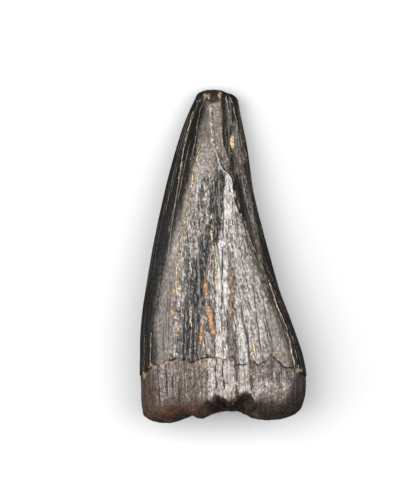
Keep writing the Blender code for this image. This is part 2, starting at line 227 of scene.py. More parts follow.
# Cracks on the front: filling, width, depth, then the points along it as height and X.
CRACKS = (
    (YELLOW, 0.17, 0.1, ((50.8, -4.2), (47, -5.4), (42.4, -5.9), (39.4, -6.5), (35.9, -7.3), (33.1, -7.8))),
    (YELLOW, 0.19, 0.08, ((33.1, -7.8), (29.9, -8.3), (27.5, -8.6), (23.2, -8.4))),
    (CREAM, 0.11, 0.06, ((58.2, -5.4), (54.6, -6.5), (48.9, -7.6), (45, -8.2))),
    (PALE, 0.08, 0.06, ((45, -8.2), (40.2, -8.9), (37.2, -9.7), (34.6, -10.2))),
    (CREAM, 0.35, 0.03, ((60.2, -3.3), (59.5, -5.8))),
    (PALE, 0.07, 0.04, ((60, -3.5), (57.8, -4.3), (54.8, -4.7), (50.6, -5.4), (48.5, -6.2))),
    (PALE, 0.1, 0.08, ((61.2, 0.5), (58.2, 1.1), (55.4, 1.7))),
    (PALE, 0.12, 0.08, ((61, 1.2), (59.1, 2), (56.3, 2.6), (53.5, 2.9), (51.6, 3.1))),
    (CREAM, 0.1, 0.06, ((54.6, 3.2), (51.7, 3.5), (48, 4.1))),
    (CREAM, 0.09, 0.06, ((53, 4), (50.5, 4.3), (48.5, 4.6))),
    (CREAM, 0.09, 0.05, ((38, 3.9), (34, 5), (29.4, 7.2), (25.5, 9.1), (22, 10.6))),
    (TAN, 0.09, 0.05, ((35.6, 4.7), (31, 5.9), (27.5, 7.4), (24, 9.1))),
    (CREAM, 0.08, 0.05, ((33, 6.2), (29.4, 7.8), (25, 9.9))),
    (BLACK, 0.12, 0.12, ((40, 0.2), (33, 0), (28, -0.1), (21, -0.2))),
    (BLACK, 0.14, 0.12, ((27, -1.4), (20, -1.5), (12.4, -1.4))),
    (BLACK, 0.12, 0.1, ((21.5, 0.8), (17, 0.9), (12, 1))),
    (BLACK, 0.1, 0.1, ((19, 2.3), (15, 2.4), (11.2, 2.5))),
    (BLACK, 0.1, 0.1, ((17.5, 4.6), (14, 4.7), (11, 4.7))),
    (BLACK, 0.13, 0.1, ((24, -6.7), (18, -7.1), (12.2, -7.3))),
    (BLACK, 0.12, 0.1, ((21, -6.2), (17, -6.5), (11.8, -6.6))),
    (BLACK, 0.13, 0.1, ((27, -5.1), (20, -5.4), (12, -5.4))),
    (BLACK, 0.13, 0.1, ((24, -4.4), (18, -4.8), (12.6, -4.9))),
    (PALE, 0.08, 0.04, ((21, -6.7), (16, -6.9), (13, -7))),
    (PALE, 0.08, 0.04, ((25, -5.5), (18, -5.9), (12.4, -6))),
    (PALE, 0.07, 0.04, ((22, -4.8), (15, -5.1), (12.4, -5.1))),
    (BROWN, 0.1, 0.08, ((26, 5.6), (20, 6.2), (14, 7))),
    (BROWN, 0.1, 0.08, ((24, 7.2), (19, 8.1), (14.5, 9.2))),
    (YELLOW, 0.19, 0.1, ((39, -2.1), (34.2, -2), (33.1, -1.9), (29.4, -1.2), (26.2, -1.3))),
    (YELLOW, 0.28, 0.08, ((27.3, -1.2), (25.6, -1.3))),
    (TAN, 0.12, 0.08, ((33.2, -2.4), (29.4, -2.7), (27, -3.2))),
    (CREAM, 0.11, 0.08, ((23, -6), (20.5, -6), (17.6, -5.8))),
    (TAN, 0.16, 0.1, ((28.4, -3.3), (26, -3.2))),
    (ORANGE, 0.5, 0.12, ((26.4, -3.2), (25, -3), (23.4, -2.8))),
    (ORANGE, 0.22, 0.12, ((23.4, -2.8), (21, -2.7))),
    (ORANGE, 0.85, 0.16, ((21.4, -2.8), (19.2, -2.2), (16.4, -1.7))),
    (ORANGE, 0.45, 0.14, ((18.6, -3.7), (16, -4), (14.4, -4.2))),
    (BARE, 0.3, 0.12, ((14.6, -4.2), (11, -4.2))),
    (RUST, 0.14, 0.08, ((38, 1.2), (34.5, 1), (32.2, 1.1), (28.6, 1.4))),
    (RUST, 0.3, 0.14, ((32, 1.2), (29.4, 1.3), (27, 1.3))),
    (RUST, 0.52, 0.14, ((27.4, 1.3), (24.5, 1.8), (21.2, 1.4))),
    (BARE, 0.55, 0.14, ((21, 1.4), (18, 1.5), (15, 1.6), (11.4, 1.7))),
    (RUST, 0.14, 0.1, ((20.5, -0.3), (16.5, -0.1), (12.2, 0.1))),
    (BROWN, 0.14, 0.1, ((22, 3.4), (18, 4), (14.5, 4.7), (11.4, 5))),
    (RUST, 0.2, 0.1, ((14, -1.6), (11.8, -1.5))),
    (TAN, 0.12, 0.08, ((16, 2.6), (13, 2.9), (11, 2.7))),
    (YELLOW, 0.26, 0.1, ((15.8, 5.4), (14.2, 5.7), (12.3, 6.1))),
    (TAN, 0.14, 0.08, ((15.8, 7.6), (14.6, 7.9), (13.6, 8.2))),
    (TAN, 0.2, 0.08, ((14.2, 9), (13.2, 9.2), (12.5, 9))),
    (CREAM, 0.26, 0.06, ((26.6, 8.4), (21.2, 10.4), (17.7, 11.8), (13, 12.8), (10.2, 13.4))),
    (CREAM, 0.11, 0.05, ((18.6, 12.1), (15, 13.1), (10.1, 14.2))),
    (TAN, 0.12, 0.05, ((30, 7.9), (25, 9.9), (19.5, 11.9))),
    (CREAM, 0.1, 0.05, ((27.4, 9.6), (23, 11.1), (20, 12.2))),
    (BLACK, 0.14, 0.1, ((29, 6.9), (24, 8.8), (18, 11.2), (11, 13.2))),
    (CREAM, 0.08, 0.05, ((18.2, -13.2), (13, -13.4), (10.2, -13.4))),
    (CREAM, 0.07, 0.05, ((16.8, -14.4), (12, -14.5), (9.3, -14.6))),
    (CREAM, 0.32, 0.08, ((43, 2.2), (41.6, 2.5))),
    (TAN, 0.3, 0.08, ((41.4, 2.7), (39.6, 3.2))),
    (CREAM, 0.3, 0.08, ((38.9, 3.3), (38.1, 3.5))),
    (TAN, 0.16, 0.1, ((12, -6.8), (9, -6.8), (5.6, -6.7))),
    (TAN, 0.14, 0.08, ((12, -4.1), (9.6, -4.1), (6.6, -4))),
    (BLACK, 0.1, 0.12, ((9.5, -10.4), (5, -10.2))),
    (BLACK, 0.1, 0.12, ((9, -9.3), (4.4, -9.2))),
    (BLACK, 0.1, 0.12, ((10.4, -12), (4, -11.6))),
    (BLACK, 0.09, 0.1, ((8, -8.2), (3.6, -8))),
    (BLACK, 0.12, 0.12, ((12.4, -1.1), (10, -1.3), (6.4, -1.1))),
    (BLACK, 0.1, 0.1, ((12.2, 0.1), (9.5, 0), (6.4, 0.3))),
    (BROWN, 0.2, 0.12, ((12, 2.4), (8.5, 2.6), (5, 2.7))),
    (BROWN, 0.18, 0.12, ((12, 5), (9.5, 5.2), (6, 5.3))),
    (TAN, 0.14, 0.1, ((11, 9.9), (8.2, 10.4), (5.6, 10.8), (3.4, 10.5))),
    (TAN, 0.15, 0.08, ((6, 1.5), (4, 1.9), (2.6, 1.8))),
)
CRACK_BENDS = ((0.16, 1.3), (0.06, 0.4))  # how far they stray, and their length
CRACK_STARTS = (-0.3, 0.5)  # how far before its end a crack fades out, and how far inside it is whole
CRACK_WIDTH_SHARE = 0.75
CRACK_WIDTH_CHANGES = ((0.45, 20, 0.9), (0.35, 40, 0.35))  # how much, seed, and length
CRACK_GAPS = (60, 1.4, -0.6, -0.4)  # seed, length, and where the wander opens a gap
GAPS_BELOW = 0.25  # only cracks thinner than this have gaps
CRACK_SHADOW = 1.9  # how many times wider than the crack its dark rim is
FRONT_EDGE = (0, 0.25)  # how far a face has to look up to count as the front
STEEPEST = 0.3  # least share by which a crack is narrowed on steep sides

# Patches of mineral: filling, height, X, half height and half width.
PATCH_RAGGEDNESS = 0.9
PATCH_LUMPS = 0.45
PATCH_EDGE = (0.5, 1.1)  # from where to where they end, in shares of their half size
PATCHES = (
    (YELLOW, 52, 1.82, 1.9, 0.48),
    (TAN, 24.5, -9, 1.3, 0.35),
    (TAN, 20.5, -9.2, 1.1, 0.4),
    (TAN, 17, -8.6, 1.2, 0.3),
    (RUST, 9.5, 5.2, 0.7, 0.4),
    (ORANGE, 20.9, 1.35, 0.5, 0.3),
    (TAN, 10.6, -13.2, 0.4, 0.8),
    (TAN, 8.9, -14.5, 0.6, 0.5),
    (TAN, 12.4, -8.3, 0.3, 0.4),
    (TAN, 12.3, -6.7, 0.3, 0.35),
    (TAN, 9.8, 14, 0.4, 1.2),
    (TAN, 11.9, -3.2, 0.3, 0.7),
    (TAN, 12.6, 9.6, 0.4, 0.5),
    (TAN, 60.8, -2.9, 0.85, 0.75),
    (CHIP, 60.8, -0.55, 0.8, 0.34),
    (CREAM, 56.5, -1.5, 0.4, 0.16),
    (CREAM, 53.5, -1, 0.3, 0.16),
    (CREAM, 51.2, -1, 0.35, 0.22),
    (CREAM, 48.9, -0.6, 0.25, 0.2),
)

# Shades of the enamel: 0 is black, 0.5 grey and 1 silver, partly painted light: the grey face and the silver
# columns hold painted sheen and highlights, and the black sides that don't face up hold painted shade. Each
# band has its shade, how softly it ends sideways, and its height, left and right in rising order. The last
# bands lie over the first.
FACE_SHADE = 0.5
TIP_SHADE = 0.02
FACET_SHADES = ((44, 0.1), (47, 0.24), (50, 0.46), (53, 0.68), (60, 0.62))  # height, shade
DARK_COLUMN = (
    (11, -8, -4.6), (16, -7.7, -4.4), (22.9, -6.6, -3.4), (26.6, -6.1, -3.4), (29.9, -5.2, -2.8),
    (32.2, -4.3, -2.4), (34.6, -3.9, -1.2), (37, -2.6, -0.6), (39.6, -2, -0.3), (42.4, -2.1, 0),
    (45.2, -1.1, 0.1), (46.6, -0.8, 0.2),
)
CRACKLED_SOFTNESS = 0.3
# The left flank, black: partly the enamel's own dark colour, partly painted shade where it turns away.
# Height, left and right.
SHADED_LEFT_FLANK = (
    (9, -20, -12.1), (18.4, -20, -12.4), (22.9, -20, -12.1), (27.7, -20, -11.2), (31.8, -20, -9.8),
    (35.9, -20, -8.7), (39.6, -20, -7.7), (43.5, -20, -6.8), (47.6, -20, -5.9), (51.1, -20, -4.8),
    (54.5, -20, -4.3), (58.4, -20, -3.3), (62, -20, -3.2),
)
# The silver column, partly a painted highlight: height, left and right.
SILVER_HIGHLIGHT_COLUMN = (
    (21, -1.3, 1.1), (30.3, -1.1, 1.3), (34, -0.6, 1.4), (38.7, 0, 1.6), (43.3, 0.4, 2),
    (44.6, 0.7, 1.7), (46, 0.8, 1.2),
)
BANDS = (
    (0.56, 0.9, ((22, -12, -7.5), (34, -10, -6.5), (44, -6.8, -3.4), (50, -5, -2.6))),
    (0.43, 0.9, ((9, -12.6, -9.4), (22, -12, -9), (30, -11, -8.4))),
    (0.4, 0.5, ((53, -5.2, -2.3), (60.5, -4.4, -2.2))),
    (0.62, 0.5, ((9, 1.6, 14), (20, 1.4, 11), (30, 1.2, 6.4), (38, 1.8, 3.6), (41, 1.9, 2.4))),
    (0.5, 0.8, ((9, 6.8, 14.5), (16, 7, 12.5), (20, 7.6, 11))),
    (0.02, 1, SHADED_LEFT_FLANK),
    (0.03, 0.25, DARK_COLUMN),
    (0.12, 0.4, ((38.6, -2.3, 0), (42.2, -2.4, 0.2))),
    (0.04, 0.4, ((42.6, -1.6, 0), (44.4, -1.2, 0.3), (46.4, -0.5, 0.4))),
    (0, 0.25, ((26, -5.3, -4), (29.9, -4.9, -3.3), (32.2, -4, -2.6), (34.6, -3.7, -2.5))),
    (0.02, 0.25, ((34, -1.8, -0.8), (37.6, -1.7, -0.6))),
    (0.86, 0.2, ((11, -1.3, 1.3), (17, -1.4, 1.1), (23, -1.3, 1.1))),
    (1, 0.2, SILVER_HIGHLIGHT_COLUMN),
    (0.78, 0.12, ((10.6, 2.6, 4.5), (17.3, 2.7, 4.3), (18.5, 3.2, 3.8))),
)
BESIDE_CARINA = (0.28, 0.9, 0.2)  # shade, and from how far left of the carina to where
BESIDE_CARINA_STOPS = (33, 36)
CARINA_EDGE = (-0.05, 0.25)
BAND_START = 1.0
BAND_STOP = 0.5
BAND_WANDER = 0.4
BAND_WANDER_SIZE = 0.8
BAND_WANDER_LONGER = 5.0
# Painted shade: the right flank past the front carina, and every side that doesn't face up, are dark, partly
# the enamel's own colour.
SHADED_SIDES_TONE = 0.05
# Painted sheen on the right flank towards the tip: height, left and right.
SHEEN_BAND = (
    (20, 8.6, 9.2), (30, 6.6, 7.4), (34, 5.9, 7), (41, 4.2, 5.4), (48, 2.3, 3.9), (56, 1.6, 2.9),
)
SHEEN_SHADE = 0.4
SHEEN_SOFTNESS = 0.3
# The lip's painted highlight, and the painted shadow line at its right.
LIP_SHADE_HEIGHTS = (40, 42)
LIP_DULLS = (49, 51.5)
LIP_ENDS = (59, 59.6)
LIP_COVER = 0.95
LIP_NARROWED = 0.6  # share of its width where it is bright
LIP_WIDTH_CHANGE = (0.4, 5, 1.5)  # how much, seed, and length
LIP_BREAKS = (0.45, 0.05, 0.4)  # size of the noise, and the values between which the dull lip breaks up
LIP_SHADOW = (0.14, 0.1, 0.8)  # how far right of the carina, width, and strength

# Smooth stretches of enamel: how smooth, softness, then height, left and right.
CALM_BANDS = (
    (1, 0.5, ((46, -5.5, -1), (52, -4.4, -1.8), (60, -3.4, -2.2))),
    (1, 0.8, ((9, -12.6, -10), (22, -12, -9), (34, -10, -7), (44, -6.8, -5), (50, -5, -4))),
    (1, 0.8, ((9, 9, 14.5), (16, 7.5, 12), (22, 7.5, 10))),
    (0.5, 0.6, ((11, 4.8, 9.5), (18, 2.4, 8.5), (30, 2, 5.8), (38, 2.2, 3.4))),
)

# Shades of the root, partly painted light: painted highlights on its bright middle and right, and painted
# shade at its left and right edges and where it rounds under.
ROOT_SHADE = 0.5
ROOT_BANDS = (
    (0.84, 0.8, ((2, -2.8, 5.4), (13, -2.4, 4.6))),
    (0.36, 0.5, ((2, -8.6, -4.6), (13, -8.4, -4.8))),
    (0.5, 0.7, ((8.2, 5.2, 16), (13, 5.2, 16))),
    (0.74, 0.9, ((3, 5, 11.5), (7.8, 5.4, 12))),
    (0.1, 0.9, ((0, -20, -11.9), (8, -20, -12.3), (11, -20, -13.2))),
    (0.08, 0.9, ((0, 11, 20), (6, 12.5, 20), (11, 13.8, 20))),
)
# Painted shade where the root rounds under: dark up to the first height, whole from the second.
ROOT_SHADED_UNDER = (0.5, 1.65)  # in radii of the rim
RUSTY = (-7, 1)

# Colours of the material. A noise's usual values are those between which its swings are set.
USUAL_NOISE = (0.3, 0.7)
ENAMEL_BLACK = (0.01, 0.009, 0.008)
# Partly painted light: the enamel's grey carries painted sheen, and its silver carries painted highlights.
ENAMEL_GREY_SHEEN = (0.22, 0.185, 0.155)
ENAMEL_SILVER_HIGHLIGHT = (0.72, 0.68, 0.65)
ENAMEL_CURVE = 1.6
ENAMEL_LINE = (0.5, 0.42, 0.33)
# Painted highlight: glints beside the veins.
PAINTED_GLINT = (0.95, 0.92, 0.89)
PAINTED_GLINT_COVER = 0.95
WEB = (0.6, 0.57, 0.55)
# Painted shade where the root rounds under, plain and rusty, with its specks.
SHADED_UNDERSIDE = (0.009, 0.006, 0.005)
RUSTY_SHADED_UNDERSIDE = (0.045, 0.018, 0.008)
SHADED_UNDERSIDE_SPECKS = (0.05, 0.033, 0.024)
RUSTY_SPECKS = (0.16, 0.07, 0.032)
DENTINE = (0.18, 0.148, 0.128)
# Partly painted highlight: the palest root.
DENTINE_PALE_HIGHLIGHT = (0.66, 0.59, 0.55)
DENTINE_CRACK = (0.02, 0.014, 0.01)
DENTINE_LINE = (0.5, 0.37, 0.28)
CRAZING = (0.03, 0.02, 0.016)
WORN_DARK = (0.03, 0.019, 0.014)
WORN_PALE = (0.42, 0.34, 0.28)
WORN_SPECKS = (0.9, 0.76, 0.6)
BREAK_DARK = (0.006, 0.005, 0.004)
BREAK_BROWN = (0.06, 0.038, 0.026)
BREAK_PALE = (0.11, 0.075, 0.052)
BREAK_SPECKS = (0.2, 0.135, 0.095)
BREAK_CRACKS = (0.005, 0.004, 0.003)
# The torn edge: painted shadow under the enamel's ledge, and its pale stretches.
LEDGE_SHADOW = (0.01, 0.008, 0.007)
TORN_PALE = (0.42, 0.31, 0.21)

# Patterns of the material: size of the lumps, stretch, detail and roughness. Those with a small last number
# in their stretch run along the growth lines.
WARPS = (0.8, (1, 1, 0.4), 2, 0.5)
STREAKS = (0.9, (1, 1, 0.08), 3, 0.55)
FINE_STREAKS = (0.3, (1, 1, 0.15), 3, 0.6)
VEINS = (0.8, (1, 1, 0.3), 2, 0.6)
NET = (0.42, (1, 1, 0.5), 2, 0.6)
FRINGE = (2.6, (1, 1, 0.1), 2, 0.55)
SPECKLE = (0.36, (1, 0.6, 1), 4, 0.75)
SPECKS = (0.24, (1, 0.7, 1), 3, 0.75)
MOTTLE = (0.9, (1, 1, 1), 4, 0.65)
BLOTCHES = (1.6, (1, 1, 1), 4, 0.6)

# Widths, roughness and finest relief of the material.
WARP_REACH = (0.5, 0.5, 0.5)
VEIN_WIDTH = 0.06
NET_WIDTH = 0.045
NET_SHARE = 0.85
LINE_EDGE = (0.1, 0.6)
SHADOW_EDGE = (0.15, 0.75)
RIM_COVER = 0.85
ENAMEL_ROUGHNESS = (0.2, 0.4)  # black, grey
COLUMN_ROUGHNESS = 0.36
DULL_ROUGHNESS = 0.5
ROUGHNESS_SWING = 0.07
STREAK_RELIEF = (0.08 * MM, 0.18 * MM)  # elsewhere, on the dark column
CREASE_DEPTH = 0.06 * MM
ENAMEL_PITS = (0.01 * MM, 0.07 * MM)  # black, grey
DULL_PITS = 0.12 * MM
COLUMN_PITS = 0.24 * MM

# Divisions of the loft.
FRONT_COLUMNS = 325
BACK_COLUMNS = 165
BACK_BUNCHING = 1.5  # columns of the back bunch towards the flank that shows
CROWN_RINGS = 142
STEP_RINGS = 2
ROOT_RINGS = 22
TIP_RINGS = 10
RIM_RINGS = 14
RIM_BUNCHING = 1.5  # rings of the rim bunch towards its outer edge
HOLLOW_RINGS = 10


def smooth_curve(points, at):
    """The smooth curve through points, which are (place, value) in rising order, read at these places."""
    places, values = np.array(points, float).T
    slopes = np.gradient(values, places)
    at = np.clip(at, places[0], places[-1])
    left = np.clip(np.searchsorted(places, at, side="right") - 1, 0, len(places) - 2)
    span = places[left + 1] - places[left]
    t = (at - places[left]) / span
    return (
        values[left] * (1 + 2 * t) * (1 - t) ** 2
        + slopes[left] * span * t * (1 - t) ** 2
        + values[left + 1] * t**2 * (3 - 2 * t)
        - slopes[left + 1] * span * t**2 * (1 - t)
    )


def broken_line(points, at):
    """The broken line through points, which are (place, value) in rising order, read at these places."""
    return np.interp(at, *np.array(points).T)


def bump(distance, width):
    """1 at no distance, falling smoothly to nothing over a few widths."""
    return np.exp(-((distance / width) ** 2))


def ramp(value, start, end):
    """0 up to start, 1 from end on, smooth between them."""
    t = np.clip((value - start) / (end - start), 0, 1)
    return t * t * (3 - 2 * t)


def within(value, start, end, soft):
    """1 between start and end, falling smoothly to 0 from soft inside them to soft outside them."""
    return ramp(value, start - soft, start + soft) * (1 - ramp(value, end - soft, end + soft))


def rough(x, y, z, size):
    """Smooth noise from about -1 to 1, with lumps of this size, at points in millimetres.

    Where a call gives a plain number for Y or Z, that picks one of many patterns."""
    x, y, z = np.broadcast_arrays(x, y, z)
    points = np.stack((x, y, z), -1).reshape(-1, 3) / size
    found = [noise.noise(Vector(point)) for point in points]
    return np.array(found).reshape(x.shape)


def wander(height, seed, size):
    """A smooth wander from about -1 to 1 along the height, different for each seed."""
    steps = np.arange(-2, LENGTH + 2, 0.1)
    return np.interp(height, steps, rough(7.3 * seed, steps, 0.5, size))


def outline(column, height):
    """One column of OUTLINES at these heights."""
    return smooth_curve([(row[0], row[column]) for row in OUTLINES], height)


def half_width_at(height):
    return (outline(2, height) - outline(1, height)) / 2


def front_carina_angle(height):
    share = smooth_curve(FRONT_CARINA, height)
    return np.arccos(np.sign(share) * np.abs(share) ** (SQUARENESS / 2))


def back_carina_angle(height):
    return np.radians(smooth_curve(BACK_CARINA, height))


def oval(height, angle):
    """The plain section: its middle, and the arm from there to the outline. 90 degrees is the front."""
    left, right, back, front = (outline(column, height) for column in (1, 2, 3, 4))
    c, s = np.cos(angle), np.sin(angle)
    arm_x = (right - left) / 2 * np.sign(c) * np.abs(c) ** (2 / SQUARENESS)
    arm_z = (front - back) / 2 * np.sign(s) * np.abs(s) ** (2 / SQUARENESS)
    return (left + right) / 2, (back + front) / 2, arm_x, arm_z


def section_arms(height, angle):
    """The arms of the plain section at one height, for each angle."""
    _, _, arm_x, arm_z = oval(np.full_like(angle, height), angle)
    return arm_x, arm_z


def turned(angle, other):
    """How far angle is past other, in radians, from -pi to pi."""
    return (angle - other + math.pi) % (2 * math.pi) - math.pi


def relief(height, angle):
    """How far the crown stands off the plain section: the carinae, the facet, its lip and the sulcus."""
    _, _, arm_x, arm_z = oval(height, angle)
    half_width = half_width_at(height)
    size = half_width / WIDEST
    past_front = turned(angle, front_carina_angle(height))
    past_back = turned(angle, back_carina_angle(height))

    fold = np.exp(-np.abs(past_front) / FRONT_FADE) * (1 - ramp(height, *CARINA_WORN))
    drawn_in = FLANK_SHARE * bump(past_front - FLANK_AT, FLANK_WIDTH)
    back_fold = BACK_CARINA_SHARE * np.exp(-np.abs(past_back) / BACK_FADE)
    stands = CARINA_RISE * size**0.5 * ramp(height, *CARINA_STARTS) * (fold - drawn_in + back_fold)

    across = -past_front * half_width
    in_facet = ramp(across, *FACET_STEP) * (1 - ramp(across, *FACET_RUN_OUT))
    stands -= FACET_DEPTH * in_facet * ramp(height, *FACET_STARTS)
    stands += LIP_RISE * bump(across + LIP_WIDTH, LIP_WIDTH) * ramp(height, *LIP_HEIGHTS)

    beside = arm_x - half_width * smooth_curve(SULCUS, height)
    in_sulcus = bump(beside, SULCUS_WIDTH * (1 + size) / 2) * (arm_z > 0)
    stands -= SULCUS_DEPTH * in_sulcus * ramp(height, *SULCUS_STARTS) * (1 - ramp(height, *SULCUS_ENDS))
    return stands


def surface(height, angle, sunk=0.0):
    """Points of the outer surface in millimetres, with Y measured from the root end."""
    middle_x, middle_z, arm_x, arm_z = oval(height, angle)
    swell = SWELL * rough(middle_x + arm_x, height, middle_z + arm_z, SWELL_SIZE)
    share = 1 + (relief(height, angle) + swell - sunk) / np.hypot(arm_x, arm_z)
    return middle_x + arm_x * share, height, middle_z + arm_z * share


def enamel_edge(angle):
    """Height of the enamel's lower edge at each angle. On the back it is an arch with jags."""
    arm_x, arm_z = section_arms(ENAMEL_SECTION, angle)
    front = broken_line(ENAMEL_EDGE, arm_x)
    arch = ENAMEL_ARCH * (1 - (arm_x / WIDEST) ** 2)
    back = ENAMEL_LOW + arch + ENAMEL_JAGS * rough(arm_x, 0.0, arm_z, ENAMEL_JAG_SIZE)
    torn = ENAMEL_TEAR * rough(arm_x, 5.0, arm_z, ENAMEL_TEAR_SIZE)
    return np.where(arm_z > 0, front, back) + torn


def flake(x, z):
    """How deep the missing flake is at the tip, at points across it."""
    return FLAKE_DEPTH * bump(x - FLAKE_AT, FLAKE_WIDTH) * ramp(z, *FLAKE_IN_FRONT_OF)


def tip_edge(angle):
    """Height at each angle where the crown ends and the dome over its broken tip starts."""
    middle_x, middle_z, arm_x, arm_z = oval(np.full_like(angle, LENGTH - 1), angle)
    slant = TIP_SLANT * (1 + np.cos(angle))
    ragged = RAGGEDNESS * rough(arm_x, 7.0, arm_z, TIP_LUMPS)
    return LENGTH - TIP_DOME_HEIGHT - slant - flake(middle_x + arm_x, middle_z + arm_z) + ragged


def column_angles(height):
    """The angle of each column at this height. Columns bunch on the front and follow both carinae."""
    front, back = front_carina_angle(height), back_carina_angle(height)
    over_front = np.linspace(front, back, FRONT_COLUMNS, endpoint=False)
    way = 1 - (1 - np.linspace(0, 1, BACK_COLUMNS, endpoint=False)) ** BACK_BUNCHING
    over_back = back + (front + 2 * math.pi - back) * way
    return np.concatenate([over_front, over_back])


def crown_rings():
    """Rings down the outside of the crown, from the edge of the tip's dome to the enamel's lower edge."""
    for way in np.linspace(0, 1, CROWN_RINGS):
        angle = column_angles((LENGTH - TIP_DOME_HEIGHT) * (1 - way) + ENAMEL_SECTION * way)
        height = tip_edge(angle) * (1 - way) + enamel_edge(angle) * way
        yield surface(height, angle)


def enamel_thickness(angle):
    """Thickness of the enamel's torn edge at each angle."""
    arm_x, _ = section_arms(ENAMEL_SECTION, angle)
    start, end, thinned = ENAMEL_THINS
    return ENAMEL_THICKNESS * (1 - thinned * ramp(np.abs(arm_x) / WIDEST, start, end))


def step_rings():
    """Rings down the torn edge of the enamel, from its outer side to the root under it."""
    angle = column_angles(ENAMEL_SECTION)
    for way in np.linspace(0, 1, STEP_RINGS + 1)[1:]:
        yield surface(enamel_edge(angle) - ENAMEL_STEP * way, angle, enamel_thickness(angle) * way)


def root_rings():
    """Rings down the outside of the root, from under the enamel's edge to where the rim rounds over."""
    angle = column_angles(ENAMEL_SECTION)
    top = enamel_edge(angle) - ENAMEL_STEP
    bottom = rim_height(angle) + rim_radius(angle)
    for way in np.linspace(0, 1, ROOT_RINGS + 1)[1:]:
        sunk = enamel_thickness(angle) * (1 - way / 2)
        yield surface(top * (1 - way) + bottom * way, angle, sunk)


def notch_share(angle):
    """1 at the notch in the front of the rim."""
    arm_x, arm_z = section_arms(ROOT_SECTION, angle)
    x = ROOT_LOWEST_AT * arm_x
    return within(x, *ROOT_NOTCH, ROOT_NOTCH_SOFTNESS) * (arm_z > 0)


def rim_radius(angle):
    """Radius of the rim's outer edge at each angle."""
    return (RIM_RADIUS + RIM_RADIUS_TILT * np.cos(angle)) * (1 - RIM_SHARPER_AT_NOTCH * notch_share(angle))


def rim_height(angle):
    """Lowest reach of the rim at each angle."""
    arm_x, _ = section_arms(ROOT_SECTION, angle)
    ragged = 1 + NOTCH_RAGGEDNESS * rough(arm_x, 33.0, 0.0, NOTCH_LUMPS)
    notch = ROOT_NOTCH_HEIGHT * ragged * notch_share(angle)
    return smooth_curve(ROOT_RIM, ROOT_LOWEST_AT * arm_x) + notch


def hollow_mouth(angle):
    """The hollow's mouth as a share of the arm to the outline."""
    arm_x, arm_z = section_arms(ROOT_SECTION, angle)
    mouth = 1 / np.hypot(arm_x / HOLLOW_HALF_WIDTH, arm_z / HOLLOW_HALF_DEPTH)
    return mouth * (1 + HOLLOW_UNEVENNESS * rough(arm_x, 3.0, arm_z, MOUTH_LUMPS))


def root_end_ring(height, angle, share):
    """A ring at this share of the arm from the middle of the root end."""
    middle_x, middle_z, arm_x, arm_z = oval(np.full_like(angle, ROOT_SECTION), angle)
    x, z = middle_x + arm_x * share, middle_z + arm_z * share
    return x, height, z


def rim_rings():
    """Rings round the broken rim, from the outer surface to the hollow's mouth."""
    angle = column_angles(ROOT_SECTION)
    mouth = hollow_mouth(angle)
    for way in np.linspace(0, 1, RIM_RINGS + 1)[1:]:
        share = way**RIM_BUNCHING
        to_edge = 1 - min(share / RIM_ROUNDED_TO, 1)
        rounding = rim_radius(angle) * (1 - math.sqrt(1 - to_edge**2))
        lip = RIM_LIP * ramp(share, RIM_ROUNDED_TO, 1)
        x, y, z = root_end_ring(rim_height(angle) + rounding + lip, angle, 1 + share * (mouth - 1))
        yield x, y + RAGGEDNESS * share * rough(x, 20.0, z, RIM_LUMPS), z


def hollow_rings():
    """Rings down the wall of the hollow in the root end, which evens out as it gets deeper."""
    angle = column_angles(ROOT_SECTION)
    mouth = hollow_mouth(angle)
    lip = rim_height(angle) + RIM_LIP
    for turn in np.linspace(0, math.pi / 2, HOLLOW_RINGS + 1)[1:-1]:
        share, way = math.cos(turn), math.sin(turn)
        evened = lip.mean() + (lip - lip.mean()) * share**2
        x, y, z = root_end_ring(evened * (1 - way) + HOLLOW_DEPTH * way, angle, mouth * share)
        yield x, y + RAGGEDNESS * share * rough(x, 40.0, z, HOLLOW_LUMPS), z


def tip_rings():
    """Rings over the broken tip, from near its middle out to its edge."""
    angle = column_angles(LENGTH - TIP_DOME_HEIGHT)
    x, y, z = surface(tip_edge(angle), angle)
    for turn in np.linspace(0, math.pi / 2, TIP_RINGS + 1)[1:-1]:
        share, dome = math.sin(turn), math.cos(turn)
        inner_x = x.mean() + (x - x.mean()) * share
        inner_z = z.mean() + (z - z.mean()) * share
        broken = RAGGEDNESS * rough(inner_x, 60.0, inner_z, TIP_LUMPS) - flake(inner_x, inner_z)
        yield inner_x, y * (1 - dome) + (LENGTH + broken * share) * dome, inner_z


def growth_place(angle):
    """Each angle's place on a round post as thick as the tooth, so that streaks follow the growth lines."""
    around = np.linspace(0, 2 * math.pi, 361)
    arm_x, arm_z = section_arms(ENAMEL_SECTION, around)
    walked = np.concatenate([[0], np.cumsum(np.hypot(np.diff(arm_x), np.diff(arm_z)))])
    turn = np.interp(angle % (2 * math.pi), around, walked / walked[-1]) * 2 * math.pi
    radius = walked[-1] / (2 * math.pi)
    return radius * np.cos(turn), radius * np.sin(turn)


def grain_relief(grain, around, height):
    """Fine relief from a table such as WRINKLES, in millimetres."""
    total = 0.0
    for strays, width, longer in grain:
        total = total + strays * rough(around[0], height / longer, around[1], width)
    return total


